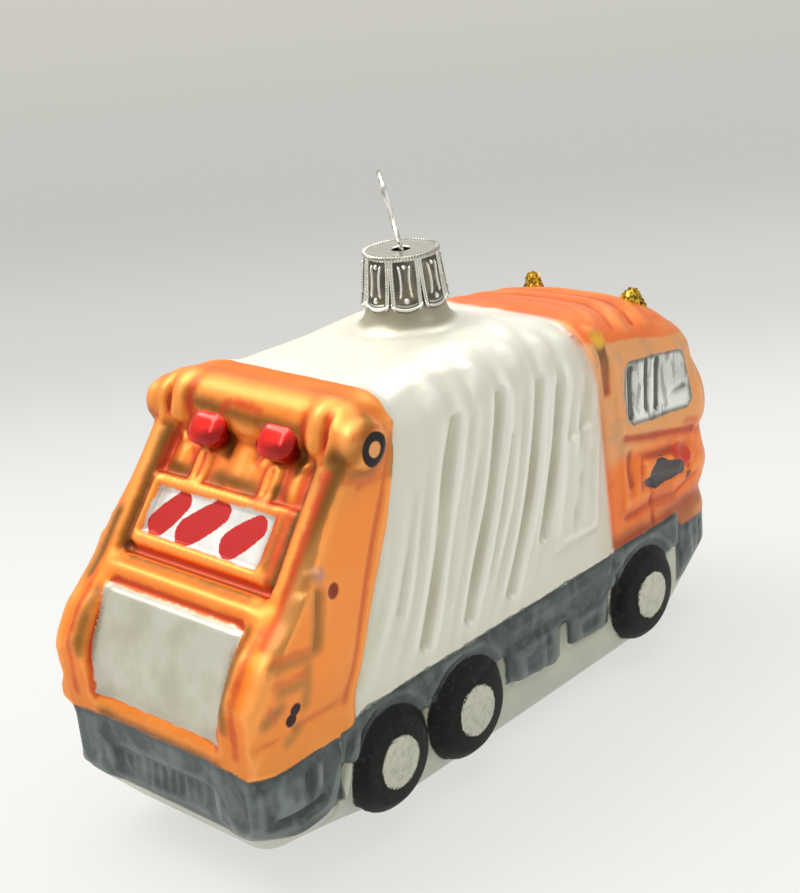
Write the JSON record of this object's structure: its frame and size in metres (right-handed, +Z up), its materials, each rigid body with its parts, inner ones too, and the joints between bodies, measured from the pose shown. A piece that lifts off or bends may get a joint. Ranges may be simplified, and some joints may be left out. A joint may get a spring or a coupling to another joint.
{
  "type": "blown glass garbage truck ornament",
  "caption": "Silvered blown glass tree ornament in the form of a garbage truck, with a lift-off metal crown cap and a swivelling wire hanger.",
  "frame": {"origin": "on the ground under the middle of the length, the bottom centre of the box", "axes": "+X to the front bumper, +Y to the truck's left, +Z up through the neck"},
  "size_m": [0.122, 0.046, 0.0953],
  "materials": {
    "white_lacquer": "pearl-white satin lacquer on silvered blown glass",
    "orange_lacquer": "translucent orange lacquer over silvered blown glass",
    "grey_paint": "brushed slate-grey enamel on blown glass",
    "striped_panel": "red brush stripes on silver-white lacquer",
    "red_lacquer": "glossy transparent red lacquer",
    "silvered_glass": "bare silvered glass, mirror bright",
    "black_paint": "black enamel, hand painted",
    "tyre_paint": "matt black enamel, hand painted",
    "hub_paint": "pale silver lacquer, satin",
    "gold_glitter": "coarse gold glitter in clear glue",
    "cap_metal": "bright pressed sheet, embossed",
    "hanger_wire": "drawn spring wire"
  },
  "bodies": {
    "glass": {"bin_body": "white_lacquer", "tailgate": "orange_lacquer", "hinge_roll": "orange_lacquer", "hopper_panel": "white_lacquer", "marker_panel": "striped_panel", "tail_lamp_right": "red_lacquer", "tail_lamp_left": "red_lacquer", "cab": "orange_lacquer", "cab_window_right": "silvered_glass", "cab_window_left": "silvered_glass", "windscreen": "silvered_glass", "door_handle_right": "black_paint", "door_handle_left": "black_paint", "beacon_right": "gold_glitter", "beacon_left": "gold_glitter", "rear_bumper": "grey_paint", "front_bumper": "grey_paint", "belly": "white_lacquer", "skirt_right": "grey_paint", "skirt_left": "grey_paint", "neck": "white_lacquer", "tyre_rear_right": "tyre_paint", "tyre_rear_left": "tyre_paint", "tyre_middle_right": "tyre_paint", "tyre_middle_left": "tyre_paint", "tyre_front_right": "tyre_paint", "tyre_front_left": "tyre_paint", "hub_rear_right": "hub_paint", "hub_rear_left": "hub_paint", "hub_middle_right": "hub_paint", "hub_middle_left": "hub_paint", "hub_front_right": "hub_paint", "hub_front_left": "hub_paint"},
    "crown_cap": {"crown_cap": "cap_metal"},
    "hanger": {"hanger": "hanger_wire"}
  },
  "joints": [
    {"name": "cap_lift", "type": "slide", "parent": "glass", "child": "crown_cap", "axis": [0, 0, 1], "range_m": [0, 0.022]},
    {"name": "hanger_swivel", "type": "hinge", "parent": "crown_cap", "child": "hanger", "pos_m": [0.0013, 0, 0.0826], "axis": [0, 0, 1], "continuous": true}
  ]
}
